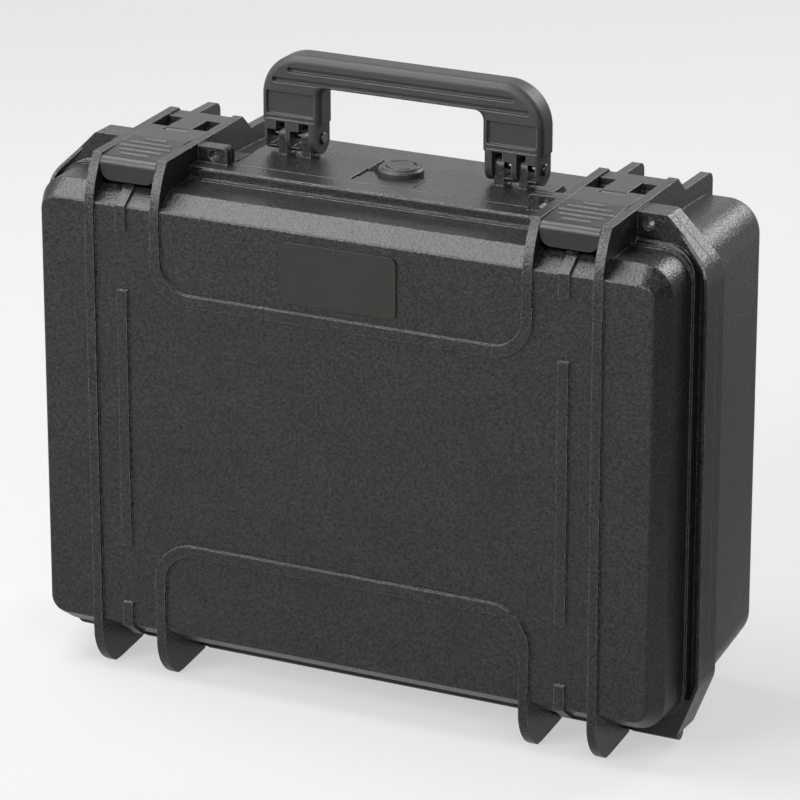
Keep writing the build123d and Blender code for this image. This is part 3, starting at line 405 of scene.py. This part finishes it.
def drawn_steel(name, colour, roughness, lines):
    """Steel with fine scratches along X: noise stretched that way sets shade and gloss."""
    material = bpy.data.materials.new(name)
    material.use_nodes = True
    tree = material.node_tree
    shader = tree.nodes["Principled BSDF"]
    shader.inputs["Metallic"].default_value = 1.0
    place = tree.nodes.new("ShaderNodeTexCoord")
    stretch = tree.nodes.new("ShaderNodeMapping")
    stretch.inputs["Scale"].default_value = (lines / drawn_length, lines, lines)
    tree.links.new(place.outputs["Object"], stretch.inputs["Vector"])
    scratch = noise(tree, stretch.outputs["Vector"], 1.0, detail=3.0)
    tinted(tree, colour, ranged(tree, scratch, 0, 1, 0.8, 1.15))
    gloss = ranged(tree, scratch, 0, 1, roughness - 0.08, roughness + 0.10)
    tree.links.new(gloss, shader.inputs["Roughness"])
    return material


pin_steel = drawn_steel("pin_steel", (0.085, 0.085, 0.087), roughness=0.36, lines=3000.0)
dress(
    pin_steel, "hinge_pin", "handle_pin_left", "handle_pin_right", "latch_pin_left",
    "latch_pin_right", "lever_pin_left", "lever_pin_right",
)


# ---------------------------------------------------------------- seals
# The lid's gasket, the valve's ring and its washer are soft black rubber
# with a dusty, matt skin.
seal_rubber = moulded_plastic(
    "seal_rubber", (0.020, 0.020, 0.020), roughness=0.72, grain=1600.0,
    grain_height=0.00004, edge_radius=0.0003, mottling=0.15, wear_and_highlight=0.1,
)
dress(seal_rubber, "lid_gasket", "valve_o_ring", "valve_washer")


# ---------------------------------------------------------------- foam lining
# Dark open-cell foam. The lid's pad is cut in rounded peaks that press on
# the laptop; the base's block is bored out for it, and both are glued in.
foam_grey = (0.030, 0.030, 0.031)
foam_patches = 60.0                        # patches of darker and paler foam per metre
foam_edge = 0.006                          # soft edge round both blocks
foam_corner = 0.0158
foam_mid_z = 0.1811
lid_foam_half = (0.2196, 0.1513)
lid_foam_front_half = (0.2132, 0.1423)
lid_foam_front = -0.0806                   # Y of the face glued to the panel
lid_foam_turn = -0.0681                    # Y where its tapered front ends
lid_foam_back = -0.0409
lid_foam_steps = (132, 92)
edge_steps = np.array([0.0, 0.15, 0.4, 0.7])
edge_roundness = 0.98                      # just under 1, so the edge isn't upright
peak_pitch = 0.0185
peak_height = 0.019
peak_rim = 0.012
peak_sharpness = 1.25
base_foam_face = -0.0230
base_foam_back = 0.0786
base_foam_half = (0.2220, 0.1511)
base_foam_back_half = (0.2159, 0.1476)
base_foam_rise = 0.0036                    # the back sits higher, as the underside is drafted more
base_foam_back_corner = 0.0172
base_foam_back_edge = 0.002
base_foam_directions = 720
recess_half = (0.195, 0.131)
recess_corner = 0.003
recess_floor = 0.0220
recess_lip = 0.0025
recess_foot = ((0.0, 0.003), (0.0008, 0.0008), (0.003, 0.0))    # inward and up from its lower edge
finger_radius = 0.013
finger_angle = 0.09                        # radians each way with closer directions
notch_half = 0.0154
notch_low = 0.3185
notch_end = 0.0204
notch_step = 0.0002
notch_angle = 0.13                         # the same at the notch
close_directions = 61


def eased_steps(count, edge, half):
    """Steps from -1 to 1: even in the middle, with four more inside the soft edge at both ends."""
    close = 1 - (edge / half) * edge_steps
    middle = np.linspace(-1 + edge / half, 1 - edge / half, count)
    return np.concatenate([-close, middle, close[::-1]])


def rounded_face(half_x, half_z, corner, s, t):
    """X and Z over a rounded rectangle: z is t times its half height, x is s times the half width there."""
    z = t * half_z
    over = np.clip(np.abs(z) - (half_z - corner), 0, corner)
    width = half_x - corner + np.sqrt(np.maximum(corner ** 2 - over ** 2, 0))
    return s[None, :] * width[:, None], np.broadcast_to(z[:, None], (len(t), len(s)))


def border(points):
    """Outer points of a grid, once round: bottom row, right column, top row back, left column back."""
    return np.concatenate([points[0, :-1], points[:-1, -1], points[-1, :0:-1], points[:0:-1, 0]])


def peaked_back(s, t):
    """Back of the lid's pad: its depth is a product of sines along X and Z.

    The peaks fade into a flat rim, and a quarter circle rounds the rim's edge.
    """
    x, z = rounded_face(*lid_foam_half, foam_corner, s, t)
    wave = np.sin(math.pi * x / peak_pitch) * np.sin(math.pi * z / peak_pitch)
    inward = np.minimum(
        (1 - np.abs(s))[None, :] * lid_foam_half[0], (1 - np.abs(t))[:, None] * lid_foam_half[1]
    )
    fade = np.clip((inward - peak_rim) / peak_pitch, 0, 1)
    fade = fade * fade * (3 - 2 * fade)
    dip = peak_height * fade * (0.5 - 0.5 * wave) ** peak_sharpness
    edge = np.clip(1 - inward / foam_edge, 0, 1)
    y = lid_foam_back - dip - foam_edge * (1 - np.sqrt(1 - edge ** 2 * edge_roundness))
    return np.stack([x, y, foam_mid_z + z], axis=-1)


def lid_foam_mesh():
    """Pad between a flat front and a peaked back, joined by two bands of quads round their borders."""
    s = eased_steps(lid_foam_steps[0], foam_edge, lid_foam_half[0])
    t = eased_steps(lid_foam_steps[1], foam_edge, lid_foam_half[1])
    back = peaked_back(s, t)
    x, z = rounded_face(*lid_foam_front_half, foam_corner / 2, s, t)
    front = np.stack([x, np.full_like(x, lid_foam_front), foam_mid_z + z], axis=-1)
    turn = border(back).copy()
    turn[:, 1] = lid_foam_turn
    count = back.shape[0] * back.shape[1]
    grid = np.arange(count).reshape(back.shape[:2])
    quads = np.stack([grid[:-1, :-1], grid[1:, :-1], grid[1:, 1:], grid[:-1, 1:]], axis=-1)
    quads = quads.reshape(-1, 4)
    loop_back = border(grid[..., None])[:, 0]
    loop_turn = 2 * count + np.arange(len(turn))
    loop_front = loop_back + count
    sides = [
        np.stack([one, np.roll(one, -1), np.roll(other, -1), other], axis=-1)
        for one, other in ((loop_back, loop_turn), (loop_turn, loop_front))
    ]
    points = np.concatenate([back.reshape(-1, 3), front.reshape(-1, 3), turn])
    return faced_mesh("lid_foam_pad", points, quads, quads[:, ::-1] + count, *sides)


def rounded_reach(half_x, half_z, corner, angle):
    """Distance from the middle to a rounded rectangle, in each direction.

    It is the nearer straight side, or the corner's circle where that side ends.
    """
    c = np.abs(np.cos(angle)) + 1e-9
    s = np.abs(np.sin(angle)) + 1e-9
    reach = np.minimum(half_x / c, half_z / s)
    cx, cz = half_x - corner, half_z - corner
    in_corner = (reach * c > cx) & (reach * s > cz)
    along = c * cx + s * cz
    arc = along + np.sqrt(np.maximum(along ** 2 - (cx ** 2 + cz ** 2 - corner ** 2), 0))
    return np.where(in_corner, arc, reach)


def foam_directions():
    """Angles round the block: even ones, with more at the finger places and at the valve's notch."""
    turn = np.linspace(0, 2 * math.pi, base_foam_directions + 1)[:-1]
    finger = finger_angle * np.sin(np.linspace(-math.pi / 2, math.pi / 2, close_directions))
    notch = math.pi / 2 + notch_angle * np.linspace(-1, 1, close_directions)
    every = np.concatenate([turn, finger % (2 * math.pi), math.pi + finger, notch])
    return np.unique(every.round(6))


def recess_reach(angle):
    """Distance to the recess's wall: a rounded rectangle, or the finger circle where that reaches farther."""
    recess = rounded_reach(*recess_half, recess_corner, angle)
    middle = recess_half[0] * np.abs(np.cos(angle))
    miss = finger_radius ** 2 - (recess_half[0] * np.sin(angle)) ** 2
    finger = middle + np.sqrt(np.maximum(miss, 0))
    return np.where(miss > 0, np.maximum(recess, finger), recess)


def base_foam_mesh():
    """Block with a recess: rings from the back round the outside and over the face to the recess floor.

    Each ring is a distance in every direction, at one depth. The valve's notch
    cuts the outside rings in front of its end, and the rings behind that rise
    evenly with the draft. Quarter circles round the face's outer and inner
    edge, and a fan of triangles closes the first and the last ring.
    """
    angle = foam_directions()
    outside = rounded_reach(*base_foam_half, foam_corner, angle)
    rear = rounded_reach(*base_foam_back_half, base_foam_back_corner, angle)
    recess = recess_reach(angle)
    thickness = base_foam_back - base_foam_face
    at_notch = outside + (rear - outside) * ((notch_end - base_foam_face) / thickness)
    in_notch = (np.abs(np.cos(angle)) * outside < notch_half) & (np.sin(angle) > 0)
    cut = (notch_low - foam_mid_z) / np.maximum(np.sin(angle), 0.1)
    notched = np.where(in_notch, np.minimum(outside, cut), outside)
    behind = [
        (rear * 0.5, base_foam_back),
        (rear - base_foam_back_edge, base_foam_back),
        (rear, base_foam_back - base_foam_back_edge),
        (at_notch, notch_end + notch_step),
        (np.minimum(at_notch, notched), notch_end),
    ]
    round_edge = np.linspace(0, math.pi / 2, 5)
    outer_edge = [
        (
            notched - (foam_edge / 2) * (1 - math.cos(a)),
            base_foam_face + (foam_edge / 2) * (1 - math.sin(a)),
        )
        for a in round_edge
    ]
    inner_edge = [
        (recess + recess_lip * (1 - math.sin(a)), base_foam_face + recess_lip * (1 - math.cos(a)))
        for a in round_edge
    ]
    bottom = [(recess - inward, recess_floor - up) for inward, up in recess_foot]
    bottom.append((recess * 0.6, recess_floor))
    rings = behind + outer_edge + inner_edge + bottom
    reach = np.stack([ring for ring, depth in rings])
    depth = np.array([depth for ring, depth in rings])
    rise = base_foam_rise * (depth - base_foam_face) / thickness
    rise = np.where(np.arange(len(depth)) < len(behind), rise, 0)
    points = np.stack([
        reach * np.cos(angle),
        np.broadcast_to(depth[:, None], reach.shape),
        foam_mid_z + rise[:, None] + reach * np.sin(angle),
    ], axis=-1)
    centres = [(0, base_foam_back, foam_mid_z + base_foam_rise), (0, recess_floor, foam_mid_z)]
    index = np.arange(reach.size).reshape(reach.shape)
    after = np.roll(index, -1, axis=1)
    back_centre = np.full_like(index[0], reach.size)
    floor_centre = back_centre + 1
    return faced_mesh(
        "base_foam_block",
        np.concatenate([points.reshape(-1, 3), centres]),
        np.stack([after[0], index[0], back_centre], axis=-1),
        np.stack([after[:-1], after[1:], index[1:], index[:-1]], axis=-1).reshape(-1, 4),
        np.stack([after[-1], floor_centre, index[-1]], axis=-1),
    )


def open_cell_foam(name, colour, cells, cell_depth):
    """Foam: small round cells as bump, with painted shade darkening their pits, and a soft velvety sheen."""
    material = bpy.data.materials.new(name)
    material.use_nodes = True
    tree = material.node_tree
    shader = tree.nodes["Principled BSDF"]
    shader.inputs["Roughness"].default_value = 0.95
    shader.inputs["Specular IOR Level"].default_value = 0.25
    shader.inputs["Sheen Weight"].default_value = 0.25
    shader.inputs["Sheen Roughness"].default_value = 0.5
    place = tree.nodes.new("ShaderNodeTexCoord").outputs["Object"]
    cell = tree.nodes.new("ShaderNodeTexVoronoi")
    cell.inputs["Scale"].default_value = cells
    tree.links.new(place, cell.inputs["Vector"])
    broad = noise(tree, place, foam_patches, detail=6.0)
    # Painted shade: the colour darkens towards each cell's middle, where its pit lies in shadow.
    pit_shade = ranged(tree, cell.outputs["Distance"], 0, 0.8, 0.45, 1.25)
    patches = ranged(tree, broad, noise_low, noise_high, 0.8, 1.2)
    tinted(tree, colour, combined(tree, "MULTIPLY", pit_shade, patches))
    bumped(tree, cell.outputs["Distance"], cell_depth)
    return material


foam_material = open_cell_foam("foam_lining", foam_grey, cells=700.0, cell_depth=0.0006)
for pad_mesh, pad_body, pad_node in (
    (lid_foam_mesh(), "lid", "lid_foam"),
    (base_foam_mesh(), "base", "base_foam"),
):
    pad = placed(pad_mesh.name, pad_mesh, foam_material)
    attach(pad, pad_body)
    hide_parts(pad_node)
